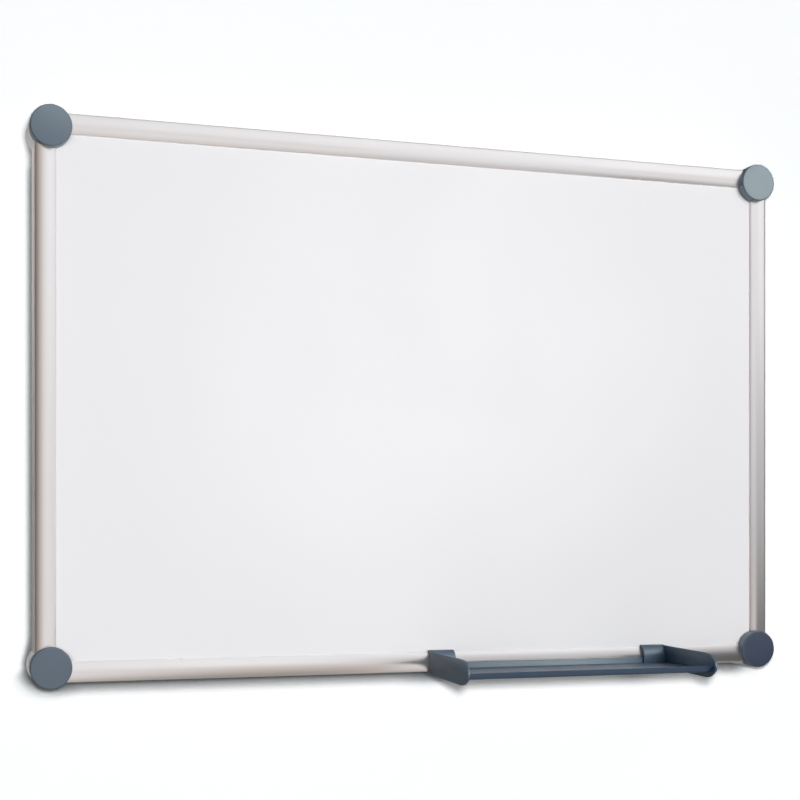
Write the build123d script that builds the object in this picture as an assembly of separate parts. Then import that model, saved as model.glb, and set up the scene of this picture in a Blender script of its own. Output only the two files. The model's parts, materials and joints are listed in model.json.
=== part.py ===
from build123d import *
import os
from math import sqrt

# Wall-mounted whiteboard with a round cap on each corner and a sliding pen tray.
# X runs along the board, +Z is up, the wall is the plane Y = 0 and the front faces -Y.
# The origin is the middle of the four wall screws. "off" is a distance from the wall.

# Board and rails
board_width = 880.0
board_height = 600.0
rail_face = 22.0
rail_depth = 40.0
rail_crown = 4.0
rail_wall = 1.6
rail_stand_off = 5.0
rail_round = 1.6
lip_height = 1.5
lip_round = 0.5

# Writing panel
sheet_thick = 0.5
core_thick = 10.0
back_thick = 0.5
panel_grip = 8.5
panel_play = 0.1

# Corner caps
cap_inset = 16.5
cap_overhang = 5.5
cap_rise = 7.0
cap_skirt = 15.0
cap_wall = 1.8
cap_plate = 2.2
cap_dome = 0.6
cap_rim = 1.4
cap_fit = 0.3
post_radius = 2.2
post_length = 11.0
post_ring_share = 0.56

# Corner bases with their tongues
rail_under_cap = 9.0
rail_end_play = 0.2
tongue_length = 40.0
tongue_root = 4.5
tongue_depth = 24.0
tongue_play = 0.15

# Wall screw seats and frame screws
wall_hole_radius = 2.75
wall_seat_thick = 6.0
wall_seat_radius = 6.0
washer_thick = 1.2
screw_radius = 1.9
screw_head_radius = 3.3
screw_length = 11.0
screw_place_share = 0.55

# Pen tray: end plates
tray_length = 299.0
tray_middle = 149.0
tray_fit = 0.3
plate_thick = 2.5
plate_reach = 124.5
plate_top_rear = 7.2
plate_top_front = 5.9
plate_bottom_front = 21.9
nose_drop = 7.9
nose_top_back = 16.2
nose_bottom_back = 18.2
nose_top_round = 24.0
nose_tip_round = 8.5
nose_bottom_round = 24.0

# Pen tray: clips
clip_length = 30.0
clip_top = 7.8
clip_thick = 5.0
clip_top_thick = 3.0
clip_bulge_share = 0.2
web_thick = 2.2
hook_thick = 1.7
hook_overlap = 5.5
pad_thick = 1.5

# Pen tray: trough
trough_wall = 2.4
trough_floor = 12.8
trough_back_top = 6.4
trough_round = 8.0
lip_top = 7.4
lip_set_back = 9.0
lip_lean = 6.5
ledge_length = 20.0
ledge_thick = 1.8
ledge_reach = 68.0

# One overrun serves every cut that has to pass right through
overrun = 2.0

# Rail section: "side" is measured outwards from the line through the cap centres
cap_x = board_width / 2 - cap_inset
cap_z = board_height / 2 - cap_inset
cap_radius = cap_inset + cap_overhang
side_in = cap_inset - rail_face
side_out = cap_inset
side_middle = (side_in + side_out) / 2
crown_radius = ((rail_face / 2) ** 2 + rail_crown ** 2) / (2 * rail_crown)
crest_off = rail_stand_off + rail_depth
crown_centre_off = crest_off - crown_radius
crown_edge_off = crest_off - rail_crown
channel_front_off = crown_edge_off - lip_height

# Writing panel in the rails' channels
sheet_front_off = channel_front_off - panel_play
sheet_back_off = sheet_front_off - sheet_thick
core_back_off = sheet_back_off - core_thick
panel_back_off = core_back_off - back_thick
channel_back_off = panel_back_off - panel_play
channel_floor = side_in + panel_grip + panel_play
chamber_in = channel_floor + rail_wall
chamber_out = side_out - rail_wall
chamber_low_off = rail_stand_off + rail_wall

# Corner bases and caps
rail_end = cap_radius - rail_under_cap
core_radius = cap_radius - cap_wall - cap_fit
notch_radius = core_radius + cap_fit
cap_front_off = crest_off + cap_rise
cap_skirt_off = cap_front_off - cap_skirt
flange_front_off = cap_skirt_off - cap_fit
plate_back_off = cap_front_off - cap_dome - cap_plate
core_front_off = plate_back_off - cap_fit
post_place = core_radius * post_ring_share / sqrt(2)
screw_side = (chamber_in + chamber_out) / 2
screw_along = rail_end + tongue_length * screw_place_share

# Pen tray: "height" is measured up from the line through the bottom cap centres
tray_left = tray_middle - tray_length / 2
tray_right = tray_middle + tray_length / 2
tray_rear_off = sheet_front_off + tray_fit
tray_nose_off = tray_rear_off + plate_reach
web_rear_off = crest_off + tray_fit
web_front_off = web_rear_off + web_thick
clip_front_off = web_rear_off + clip_thick
leg_top = -(side_out + tray_fit)
leg_bottom = leg_top - web_thick
pad_front_off = rail_stand_off - tray_fit
hook_front_off = pad_front_off - pad_thick
hook_rear_off = hook_front_off - hook_thick


def crown_off(side, grow=0.0):
    # Distance from the wall of the rounded rail front, grown outwards
    radius = crown_radius + grow
    return crown_centre_off + sqrt(max(radius ** 2 - (side - side_middle) ** 2, 0.0))


def outline(points):
    return make_face(Polyline(*points, close=True))


def rounded_outline(points, rounds):
    # An outline whose listed corners are rounded
    face = outline(points)
    for index, radius in rounds:
        vertex = face.vertices().sort_by_distance((*points[index], 0))[0]
        face = fillet(vertex, radius)
    return face


def crowned_outline(low, high, low_off, grow):
    # A straight back and sides under the rounded front, seen along a rail
    middle = (low + high) / 2
    start = (low, crown_off(low, grow))
    top = (middle, crown_off(middle, grow))
    end = (high, crown_off(high, grow))
    edges = [
        Line((low, low_off), start),
        ThreePointArc(start, top, end),
        Line(end, (high, low_off)),
        Line((high, low_off), (low, low_off)),
    ]
    return make_face(Wire(edges))


def rail_envelope(grow, low_off):
    # The space that a rail fills, grown by a clearance
    return crowned_outline(side_in - grow, side_out + grow, low_off, grow)


def rail_section():
    lip = (side_in, crown_edge_off)
    shoulder = (side_out, crown_edge_off)
    points = [
        shoulder,
        (side_out, rail_stand_off),
        (channel_floor, rail_stand_off),
        (channel_floor, channel_back_off - rail_wall),
        (side_in, channel_back_off - rail_wall),
        (side_in, channel_back_off),
        (channel_floor, channel_back_off),
        (channel_floor, channel_front_off),
        (side_in, channel_front_off),
        lip,
    ]
    edges = [Line(a, b) for a, b in zip(points, points[1:])]
    edges.append(ThreePointArc(lip, (side_middle, crest_off), shoulder))
    section = make_face(Wire(edges))
    for corner, radius in ((lip, lip_round), (shoulder, rail_round)):
        vertex = section.vertices().sort_by_distance((*corner, 0))[0]
        section = fillet(vertex, radius)
    return section - crowned_outline(chamber_in, chamber_out, chamber_low_off, -rail_wall)


def side_plane(distance, along=0.0):
    # Local x points outwards from the board's middle, local y away from the wall
    return Plane(origin=(along, 0, distance), x_dir=(0, 0, 1), z_dir=(1, 0, 0))


def box_between(low, high):
    size = [b - a for a, b in zip(low, high)]
    middle = [(a + b) / 2 for a, b in zip(low, high)]
    return Pos(*middle) * Box(*size)


def rod(radius, off_low, off_high, x=0.0, z=0.0):
    # A round bar square to the wall
    base = Plane(origin=(x, -off_low, z), x_dir=(1, 0, 0), z_dir=(0, -1, 0))
    return extrude(base * Circle(radius), off_high - off_low)


def frame_screw(along, side):
    # Countersunk screw driven from the wall side into a tongue
    head_depth = screw_head_radius - screw_radius
    tip_off = rail_stand_off + screw_length
    profile = outline([
        (0, -rail_stand_off),
        (screw_head_radius, -rail_stand_off),
        (screw_radius, -(rail_stand_off + head_depth)),
        (screw_radius, -tip_off),
        (0, -tip_off),
    ])
    return Pos(along, 0, side) * revolve(profile, Axis.Y, 360)


def rail(half_span, distance, turn):
    half_length = half_span - rail_end
    solid = extrude(side_plane(distance) * rail_section(), half_length, both=True)
    for along in (screw_along - half_span, half_span - screw_along):
        solid -= frame_screw(along, distance + screw_side)
    return Rot(0, turn, 0) * solid


def both_ways(make):
    # One copy along each rail of a corner whose rails run to -X and -Z
    return make + mirror(make, Plane(origin=(0, 0, 0), z_dir=(1, 0, -1)))


def rail_room(grow, low_off):
    # Cuts for the two rails that enter a corner
    start = -(rail_end - rail_end_play)
    face = side_plane(0.0, start) * rail_envelope(grow, low_off)
    return both_ways(extrude(face, -(cap_radius + tongue_length)))


def corner_base():
    # Round light base with two tongues and the seat of the wall screw
    solid = rod(cap_radius, 0, flange_front_off) + rod(core_radius, 0, core_front_off)
    solid -= rail_room(0.0, rail_stand_off)
    beyond = cap_radius + overrun
    reach = channel_floor + cap_fit
    slab = box_between((-beyond, -(cap_front_off + overrun), -beyond), (reach, -panel_back_off, reach))
    solid -= slab - rod(core_radius, 0, cap_front_off + 2 * overrun)
    tongue = box_between(
        (-rail_end - tongue_length, -(chamber_low_off + tongue_depth), chamber_in + tongue_play),
        (-rail_end + tongue_root, -chamber_low_off, chamber_out - tongue_play),
    )
    solid += both_ways(tongue)
    solid -= both_ways(frame_screw(-screw_along, screw_side))
    solid -= rod(wall_hole_radius, -overrun, cap_front_off)
    solid -= rod(wall_seat_radius, wall_seat_thick, cap_front_off)
    for place in (post_place, -post_place):
        floor_off = plate_back_off - post_length - cap_fit
        solid -= rod(post_radius + cap_fit, floor_off, cap_front_off, place, place)
    return solid


def cap_profile():
    # Half of the cap's section: x is the radius, y the distance from the wall
    rim_start = cap_radius - cap_rim
    rim_off = cap_front_off - cap_dome
    rim_cut = cap_rim * (1 - 1 / sqrt(2))
    inner = cap_radius - cap_wall
    dome_radius = (rim_start ** 2 + cap_dome ** 2) / (2 * cap_dome)
    half = rim_start / 2
    half_off = cap_front_off - dome_radius + sqrt(dome_radius ** 2 - half ** 2)
    wall_top = (cap_radius, rim_off - cap_rim)
    points = [
        wall_top,
        (cap_radius, cap_skirt_off),
        (inner, cap_skirt_off),
        (inner, plate_back_off),
        (0, plate_back_off),
        (0, cap_front_off),
    ]
    edges = [Line(a, b) for a, b in zip(points, points[1:])]
    edges.append(ThreePointArc((0, cap_front_off), (half, half_off), (rim_start, rim_off)))
    edges.append(ThreePointArc((rim_start, rim_off), (cap_radius - rim_cut, rim_off - rim_cut), wall_top))
    return make_face(Wire(edges))


def corner_cap():
    # Slate push-on cap whose skirt is cut to sit over the two rails
    solid = revolve(Rot(180, 0, 0) * cap_profile(), Axis.Y, 360)
    solid -= rail_room(cap_fit, 0.0)
    beyond = cap_radius + overrun
    reach = side_in + cap_fit
    solid -= box_between((-beyond, -(sheet_front_off + cap_fit), -beyond), (reach, 0, reach))
    for place in (post_place, -post_place):
        solid += rod(post_radius, plate_back_off - post_length, plate_back_off, place, place)
    return solid


def wall_washer():
    outer = wall_seat_radius - cap_fit
    ring = rod(outer, wall_seat_thick, wall_seat_thick + washer_thick)
    return ring - rod(wall_hole_radius, 0, cap_front_off)


def corner_spots():
    # Name, turn about Y and place of each corner
    return [
        ("top_right", 0, (cap_x, 0, cap_z)),
        ("bottom_right", 90, (cap_x, 0, -cap_z)),
        ("bottom_left", 180, (-cap_x, 0, -cap_z)),
        ("top_left", 270, (-cap_x, 0, cap_z)),
    ]


def at_corner(solid, turn, place):
    return Pos(*place) * Rot(0, turn, 0) * solid


def panel_layer(front_off, thick):
    # A flat layer of the writing panel, with each corner cut round a base
    half_x = cap_x + side_in + panel_grip
    half_z = cap_z + side_in + panel_grip
    solid = box_between((-half_x, -front_off, -half_z), (half_x, thick - front_off, half_z))
    for _, _, place in corner_spots():
        solid -= rod(notch_radius, 0, cap_front_off, place[0], place[2])
    return solid


def tray_solid(face, x_low, x_high):
    # A face drawn in "off" and "height" is drawn out along the bottom rail
    plane = Plane(origin=(x_high, 0, -cap_z), x_dir=(0, -1, 0), z_dir=(-1, 0, 0))
    return extrude(plane * face, x_high - x_low)


def end_plate_face():
    points = [
        (tray_rear_off, plate_top_rear),
        (tray_nose_off - nose_top_back, plate_top_front),
        (tray_nose_off, -nose_drop),
        (tray_nose_off - nose_bottom_back, -plate_bottom_front),
        (tray_rear_off, leg_bottom),
    ]
    rounds = ((1, nose_top_round), (2, nose_tip_round), (3, nose_bottom_round))
    return rounded_outline(points, rounds)


def clip_face():
    # Tab over the rail's front, web and leg below it, and the hook behind the rail
    top_off = tray_rear_off + clip_top_thick
    step = clip_front_off - top_off
    drop = clip_top + side_middle
    bulge = (
        clip_front_off - step * clip_bulge_share,
        clip_top - drop * (1 - clip_bulge_share) / 2,
    )
    tab_points = [
        (clip_front_off, -side_middle),
        (clip_front_off, -trough_floor),
        (tray_rear_off, -trough_floor),
        (tray_rear_off, clip_top),
        (top_off, clip_top),
    ]
    edges = [Line(a, b) for a, b in zip(tab_points, tab_points[1:])]
    edges.append(ThreePointArc((top_off, clip_top), bulge, (clip_front_off, -side_middle)))
    below = outline([
        (tray_rear_off, -trough_floor),
        (web_front_off, -trough_floor),
        (web_front_off, leg_bottom),
        (hook_rear_off, leg_bottom),
        (hook_rear_off, leg_top + hook_overlap),
        (hook_front_off, leg_top + hook_overlap),
        (hook_front_off, leg_top),
        (tray_rear_off, leg_top),
    ])
    return make_face(Wire(edges)) + below


def tray_bracket():
    # Left bracket: end plate, clip round the rail and the ledge under the trough
    solid = tray_solid(end_plate_face(), tray_left, tray_left + plate_thick)
    solid += tray_solid(clip_face(), tray_left, tray_left + clip_length)
    rail_face_seen = Rot(0, 0, -90) * rail_envelope(tray_fit, hook_front_off)
    solid -= tray_solid(rail_face_seen, tray_left - overrun, tray_left + clip_length + overrun)
    top = -(trough_floor + trough_wall)
    ledge = outline([
        (web_rear_off, top),
        (web_rear_off + ledge_reach, top),
        (web_rear_off + ledge_reach, top - ledge_thick),
        (web_rear_off, top - ledge_thick),
    ])
    return solid + tray_solid(ledge, tray_left, tray_left + ledge_length)


def bracket_pad():
    # Soft strip in the hook that rubs on the back of the rail
    face = outline([
        (hook_front_off, leg_top),
        (pad_front_off, leg_top),
        (pad_front_off, leg_top + hook_overlap),
        (hook_front_off, leg_top + hook_overlap),
    ])
    return tray_solid(face, tray_left + plate_thick, tray_left + clip_length)


def trough_bowl(rear_off):
    # Floor and leaning front lip
    lip_off = tray_nose_off - lip_set_back
    foot_off = lip_off - lip_lean
    floor = -trough_floor
    under = floor - trough_wall
    points = [
        (rear_off, under),
        (foot_off, under),
        (lip_off, -lip_top),
        (lip_off - trough_wall, -lip_top),
        (foot_off - trough_wall, floor),
        (rear_off, floor),
    ]
    return rounded_outline(points, ((1, trough_round), (4, trough_round - trough_wall)))


def tray_trough():
    solid = tray_solid(trough_bowl(web_front_off), tray_left + plate_thick, tray_right - plate_thick)
    clear = clip_length + tray_fit
    back_wall = outline([
        (web_rear_off, -(trough_floor + trough_wall)),
        (web_rear_off + trough_wall, -(trough_floor + trough_wall)),
        (web_rear_off + trough_wall, -trough_back_top),
        (web_rear_off, -trough_back_top),
    ])
    middle = trough_bowl(web_rear_off) + back_wall
    return solid + tray_solid(middle, tray_left + clear, tray_right - clear)


def other_end(solid):
    # The same piece at the tray's other end
    return mirror(solid, Plane(origin=(tray_middle, 0, 0), z_dir=(1, 0, 0)))


def save(name, shape):
    shape.label = name
    export_step(shape, os.path.join("parts", name + ".step"))


os.makedirs("parts", exist_ok=True)

save("writing_sheet", panel_layer(sheet_front_off, sheet_thick))
save("panel_core", panel_layer(sheet_back_off, core_thick))
save("back_sheet", panel_layer(core_back_off, back_thick))

save("rail_top", rail(cap_x, cap_z, 0))
save("rail_right", rail(cap_z, cap_x, 90))
save("rail_bottom", rail(cap_x, cap_z, 180))
save("rail_left", rail(cap_z, cap_x, 270))

base = corner_base()
cap = corner_cap()
washer = wall_washer()
screws = both_ways(frame_screw(-screw_along, screw_side))
washers = []
frame_screws = []
for name, turn, place in corner_spots():
    save("corner_base_" + name, at_corner(base, turn, place))
    save("corner_cap_" + name, at_corner(cap, turn, place))
    washers += at_corner(washer, turn, place).solids()
    frame_screws += at_corner(screws, turn, place).solids()
save("screw_washers", Compound(washers))
save("frame_screws", Compound(frame_screws))

bracket = tray_bracket()
pad = bracket_pad()
save("tray_trough", tray_trough())
save("tray_bracket_left", bracket)
save("tray_bracket_right", other_end(bracket))
save("bracket_pad_left", pad)
save("bracket_pad_right", other_end(pad))
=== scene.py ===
import json
import math

import bmesh
import bpy
from mathutils import Matrix, Vector

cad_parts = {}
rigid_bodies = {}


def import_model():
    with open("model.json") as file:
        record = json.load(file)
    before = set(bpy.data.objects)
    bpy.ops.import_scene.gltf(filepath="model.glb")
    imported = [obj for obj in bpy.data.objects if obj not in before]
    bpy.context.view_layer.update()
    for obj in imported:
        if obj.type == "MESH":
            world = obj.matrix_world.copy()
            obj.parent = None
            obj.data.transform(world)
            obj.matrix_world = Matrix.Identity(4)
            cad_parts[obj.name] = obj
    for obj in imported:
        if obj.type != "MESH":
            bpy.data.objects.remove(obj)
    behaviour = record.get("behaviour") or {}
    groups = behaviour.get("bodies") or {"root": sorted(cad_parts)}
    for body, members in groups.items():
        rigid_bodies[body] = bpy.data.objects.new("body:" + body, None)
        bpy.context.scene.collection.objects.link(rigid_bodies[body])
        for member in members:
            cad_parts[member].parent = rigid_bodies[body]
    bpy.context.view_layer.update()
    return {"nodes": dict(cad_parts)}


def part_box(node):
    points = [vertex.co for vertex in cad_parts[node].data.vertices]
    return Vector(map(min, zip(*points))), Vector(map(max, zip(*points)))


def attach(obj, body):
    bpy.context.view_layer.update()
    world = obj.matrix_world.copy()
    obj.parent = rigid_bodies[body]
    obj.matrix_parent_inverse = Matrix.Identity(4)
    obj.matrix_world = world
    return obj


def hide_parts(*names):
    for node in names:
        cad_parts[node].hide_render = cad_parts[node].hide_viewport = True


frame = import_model()
print("frame loaded")

mm = 0.001
corners = {"top_right": 0, "bottom_right": 1, "bottom_left": 2, "top_left": 3}  # quarter turns about Y
mixFirst, mixSecond, mixResult = 6, 7, 2  # the colour sockets of a Mix node

scene = bpy.context.scene
scene.view_settings.view_transform = "Standard"


# Small helpers
def addNode(tree, kind, place=(0, 0), inputs=None, **settings):
    node = tree.nodes.new(kind)
    node.location = place
    for name, value in settings.items():
        setattr(node, name, value)
    for name, value in (inputs or {}).items():
        node.inputs[name].default_value = value
    return node


def link(tree, source, output, target, entry):
    tree.links.new(source.outputs[output], target.inputs[entry])


def feed(tree, entry, value):
    # Gives an input another node's output, or a plain value
    if isinstance(value, bpy.types.NodeSocket):
        tree.links.new(value, entry)
    else:
        entry.default_value = value


def chain(tree, *nodes):
    # Passes the geometry down a row of nodes
    for source, target in zip(nodes, nodes[1:]):
        link(tree, source, "Geometry", target, "Geometry")


def addGroup(name, entries, results):
    group = bpy.data.node_groups.new(name, "ShaderNodeTree")
    for title, kind, value in entries:
        socket = group.interface.new_socket(name=title, in_out="INPUT", socket_type=kind)
        if value is not None:
            socket.default_value = value
    for title in results:
        group.interface.new_socket(name=title, in_out="OUTPUT", socket_type="NodeSocketFloat")
    return group, group.nodes.new("NodeGroupInput"), group.nodes.new("NodeGroupOutput")


def useGroup(tree, group, place, vector, inputs):
    node = addNode(tree, "ShaderNodeGroup", place, node_tree=group)
    feed(tree, node.inputs["Vector"], vector)
    for name, value in inputs.items():
        node.inputs[name].default_value = value
    return node


def addPlace(tree, kind, place):
    # Texture coordinates of one kind
    return addNode(tree, "ShaderNodeTexCoord", place).outputs[kind]


def clearTree(holder):
    # The emptied node tree of a material or a world
    holder.use_nodes = True
    holder.node_tree.nodes.clear()
    return holder.node_tree


def addOutput(tree, surface, place, kind="ShaderNodeOutputMaterial"):
    output = addNode(tree, kind, place)
    feed(tree, output.inputs["Surface"], surface)


def newMaterial(name):
    material = bpy.data.materials.new(name)
    tree = clearTree(material)
    shader = addNode(tree, "ShaderNodeBsdfPrincipled", (300, 0))
    addOutput(tree, shader.outputs["BSDF"], (600, 0))
    return material, tree, shader


def addTint(tree, place, first, second):
    # A mix of two colours by its Factor
    tint = addNode(tree, "ShaderNodeMix", place, data_type="RGBA")
    feed(tree, tint.inputs[mixFirst], first)
    feed(tree, tint.inputs[mixSecond], second)
    return tint


def addBump(tree, shader, source, output, finish):
    inputs = {"Strength": finish["bump"], "Distance": finish["depth"]}
    bump = addNode(tree, "ShaderNodeBump", (0, -300), inputs)
    link(tree, source, output, bump, "Height")
    link(tree, bump, "Normal", shader, "Normal")


def shadeSmooth(mesh, angle):
    mesh.polygons.foreach_set("use_smooth", [True] * len(mesh.polygons))
    mesh.set_sharp_from_angle(angle=math.radians(angle))


def middleOf(node):
    low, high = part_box(node)
    return (low + high) / 2


def newObject(name, data):
    item = bpy.data.objects.new(name, data)
    scene.collection.objects.link(item)
    return item


def addPiece(name, mesh, body, material, node):
    # Shows a mesh on a body in place of the frame's node
    piece = newObject(name, mesh)
    mesh.materials.clear()
    mesh.materials.append(material)
    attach(piece, body)
    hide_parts(node)


def meshFrom(made, name):
    # A plain mesh of closed shapes, with their faces turned outwards
    bmesh.ops.recalc_face_normals(made, faces=made.faces)
    mesh = bpy.data.meshes.new(name)
    made.to_mesh(mesh)
    made.free()
    return mesh


def joinColumns(made, columns, first, last):
    # Faces between columns of points round an axis, closed at both ends by a point
    for column, after in zip(columns, columns[1:] + columns[:1]):
        made.faces.new((first, column[0], after[0]))
        made.faces.new((last, after[-1], column[-1]))
        for j in range(len(column) - 1):
            made.faces.new((column[j], column[j + 1], after[j + 1], after[j]))


# Effects that several finishes share
def makeGrain():
    group, start, end = addGroup(
        "mouldedGrain",
        [
            ("Vector", "NodeSocketVector", None),
            ("Scale", "NodeSocketFloat", 900.0),
            ("Detail", "NodeSocketFloat", 3.0),
        ],
        ["Height"],
    )
    noise = addNode(group, "ShaderNodeTexNoise", (200, 0), {"Roughness": 0.6})
    for name in ("Vector", "Scale", "Detail"):
        link(group, start, name, noise, name)
    link(group, noise, "Fac", end, "Height")
    return group


def makeHandling():
    # Uneven gloss from hands and wiping: a low and a high roughness mixed by soft patches
    group, start, end = addGroup(
        "handling",
        [
            ("Vector", "NodeSocketVector", None),
            ("Scale", "NodeSocketFloat", 12.0),
            ("Low", "NodeSocketFloat", 0.3),
            ("High", "NodeSocketFloat", 0.4),
        ],
        ["Roughness", "Mask"],
    )
    noise = addNode(group, "ShaderNodeTexNoise", (200, 0), {
        "Detail": 4.0, "Roughness": 0.55, "Distortion": 0.6,
    })
    spread = addNode(group, "ShaderNodeMapRange", (400, 0), {"From Min": 0.3, "From Max": 0.7})
    link(group, start, "Vector", noise, "Vector")
    link(group, start, "Scale", noise, "Scale")
    link(group, noise, "Fac", spread, "Value")
    link(group, start, "Low", spread, "To Min")
    link(group, start, "High", spread, "To Max")
    link(group, spread, "Result", end, "Roughness")
    link(group, noise, "Fac", end, "Mask")
    return group


def makeDrawnLines():
    # Fine lines along an extrusion, from a vector whose x runs along it
    group, start, end = addGroup(
        "drawnLines",
        [
            ("Vector", "NodeSocketVector", None),
            ("Fineness", "NodeSocketFloat", 1400.0),
            ("Stretch", "NodeSocketFloat", 0.012),
        ],
        ["Height"],
    )
    squeeze = addNode(group, "ShaderNodeCombineXYZ", (0, -200), {"Y": 1.0, "Z": 1.0})
    product = addNode(group, "ShaderNodeVectorMath", (200, 0), operation="MULTIPLY")
    noise = addNode(group, "ShaderNodeTexNoise", (400, 0), {"Detail": 2.0, "Roughness": 0.7})
    link(group, start, "Stretch", squeeze, "X")
    link(group, start, "Vector", product, 0)
    link(group, squeeze, "Vector", product, 1)
    link(group, product, "Vector", noise, "Vector")
    link(group, start, "Fineness", noise, "Scale")
    link(group, noise, "Fac", end, "Height")
    return group


grain = makeGrain()
handling = makeHandling()
drawnLines = makeDrawnLines()


# Finishes: low and high are the roughness of the handled patches, and wear, grain and chips how fine each is
enamel = dict(colour=(0.825, 0.822, 0.840, 1), low=0.10, high=0.20, wear=5.0, grain=260.0, detail=1.0,
              bump=0.02, depth=0.2 * mm, coat=0.35, coatRoughness=0.06)
railFinish = dict(colour=(0.82, 0.80, 0.80, 1), lineShade=0.93, low=0.27, high=0.34, wear=9.0, bump=0.05,
                  depth=0.1 * mm)
plastic = dict(wear=40.0, grain=1500.0, detail=4.0, bump=0.06, depth=0.1 * mm, paleFrom=0.45, paleTo=0.9,
               paleMost=0.3)
capFinish = dict(plastic, colour=(0.028, 0.036, 0.072, 1), pale=(0.036, 0.046, 0.082, 1), low=0.28,
                 high=0.34, index=1.70, level=1.0, sheen=(0.78, 1.0, 0.96, 1))
trayFinish = dict(plastic, colour=(0.007, 0.021, 0.052, 1), pale=(0.011, 0.027, 0.062, 1), low=0.40,
                  high=0.46, index=1.6, level=0.9, sheen=(0.80, 1.0, 1.0, 1))
baseFinish = dict(plastic, colour=(0.78, 0.765, 0.765, 1), pale=(0.83, 0.82, 0.82, 1), low=0.42,
                  high=0.52, index=1.5, level=0.5, sheen=(1.0, 1.0, 1.0, 1))
backFinish = dict(metal=0.85, spangle=110.0, uneven=0.9, shade=(0.50, 0.68), gloss=(0.32, 0.50), bump=0.03,
                  depth=0.3 * mm)
coreFinish = dict(dark=(0.42, 0.30, 0.19, 1), pale=(0.60, 0.47, 0.32, 1), chips=500.0, roughness=0.85,
                  bump=0.3, depth=0.3 * mm)
screwFinish = dict(colour=(0.60, 0.60, 0.58, 1), metal=1.0, low=0.28, high=0.45, wear=260.0, grain=1800.0,
                   detail=2.0, bump=0.05, depth=0.1 * mm)
padFinish = dict(colour=(0.03, 0.03, 0.032, 1), low=0.7, high=0.85, wear=120.0, grain=1500.0, detail=3.0,
                 bump=0.2, depth=0.1 * mm)

# The shader's own sockets that a finish may set
ownSockets = {
    "Base Color": "colour", "Metallic": "metal", "IOR": "index", "Specular IOR Level": "level",
    "Specular Tint": "sheen", "Coat Weight": "coat", "Coat Roughness": "coatRoughness",
}


def makeWorn(name, finish):
    # A plain colour with fine grain and uneven gloss, and paler handled patches where the finish has them
    material, tree, shader = newMaterial(name)
    for title, key in ownSockets.items():
        if key in finish:
            shader.inputs[title].default_value = finish[key]
    place = addPlace(tree, "Object", (-900, 0))
    fine = useGroup(tree, grain, (-600, -300), place, {"Scale": finish["grain"], "Detail": finish["detail"]})
    worn = useGroup(tree, handling, (-600, 100), place, {
        "Scale": finish["wear"], "Low": finish["low"], "High": finish["high"],
    })
    link(tree, worn, "Roughness", shader, "Roughness")
    addBump(tree, shader, fine, "Height", finish)
    if "pale" in finish:
        tint = addTint(tree, (-200, 200), finish["colour"], finish["pale"])
        amount = addNode(tree, "ShaderNodeMapRange", (-400, 300), {
            "From Min": finish["paleFrom"], "From Max": finish["paleTo"], "To Max": finish["paleMost"],
        })
        link(tree, worn, "Mask", amount, "Value")
        link(tree, amount, "Result", tint, "Factor")
        link(tree, tint, mixResult, shader, "Base Color")
    return material


def makeRailMetal():
    material, tree, shader = newMaterial("satinRail")
    shader.inputs["Metallic"].default_value = 1.0
    alongRail = addNode(tree, "ShaderNodeAttribute", (-900, 0), attribute_name="railPlace").outputs["Vector"]
    lines = useGroup(tree, drawnLines, (-600, -100), alongRail, {})
    worn = useGroup(tree, handling, (-600, 200), alongRail, {
        "Scale": railFinish["wear"], "Low": railFinish["low"], "High": railFinish["high"],
    })
    colour = railFinish["colour"]
    tint = addTint(tree, (-200, 200), colour, [railFinish["lineShade"] * c for c in colour[:3]] + [1])
    link(tree, lines, "Height", tint, "Factor")
    link(tree, tint, mixResult, shader, "Base Color")
    link(tree, worn, "Roughness", shader, "Roughness")
    addBump(tree, shader, lines, "Height", railFinish)
    return material


def makeBackSteel():
    # Galvanised back with its spangle
    material, tree, shader = newMaterial("galvanisedBack")
    shader.inputs["Metallic"].default_value = backFinish["metal"]
    spangle = addNode(tree, "ShaderNodeTexVoronoi", (-600, 0), {
        "Scale": backFinish["spangle"], "Randomness": backFinish["uneven"],
    })
    feed(tree, spangle.inputs["Vector"], addPlace(tree, "Object", (-900, 0)))
    ranges = {}
    for key, height in (("shade", 100), ("gloss", -150)):
        low, high = backFinish[key]
        ranges[key] = addNode(tree, "ShaderNodeMapRange", (-400, height), {"To Min": low, "To Max": high})
        link(tree, spangle, "Color", ranges[key], "Value")
    tint = addNode(tree, "ShaderNodeCombineColor", (-200, 100))
    for channel in ("Red", "Green", "Blue"):
        link(tree, ranges["shade"], "Result", tint, channel)
    link(tree, tint, "Color", shader, "Base Color")
    link(tree, ranges["gloss"], "Result", shader, "Roughness")
    addBump(tree, shader, spangle, "Distance", backFinish)
    return material


def makeCore():
    material, tree, shader = newMaterial("pressedBoard")
    chips = addNode(tree, "ShaderNodeTexVoronoi", (-600, 0), {"Scale": coreFinish["chips"]})
    feed(tree, chips.inputs["Vector"], addPlace(tree, "Object", (-900, 0)))
    tint = addTint(tree, (-200, 200), coreFinish["dark"], coreFinish["pale"])
    link(tree, chips, "Distance", tint, "Factor")
    link(tree, tint, mixResult, shader, "Base Color")
    shader.inputs["Roughness"].default_value = coreFinish["roughness"]
    addBump(tree, shader, chips, "Distance", coreFinish)
    return material


finishes = {
    "enamel": makeWorn("enamelSheet", enamel),
    "rail": makeRailMetal(),
    "cap": makeWorn("slateCap", capFinish),
    "tray": makeWorn("navyTray", trayFinish),
    "base": makeWorn("lightBase", baseFinish),
    "back": makeBackSteel(),
    "core": makeCore(),
    "steel": makeWorn("zincSteel", screwFinish),
    "pad": makeWorn("softPad", padFinish),
}
print("finishes made")


# Rails: one crowned section swept along each side of the board
rail = dict(crown=4.0 * mm, crownSteps=36, wall=1.6 * mm, shoulderRound=1.6 * mm, shoulderSteps=6,
            lipRound=0.5 * mm, lipSteps=4, play=0.1 * mm, stations=24, smooth=28)


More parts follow.
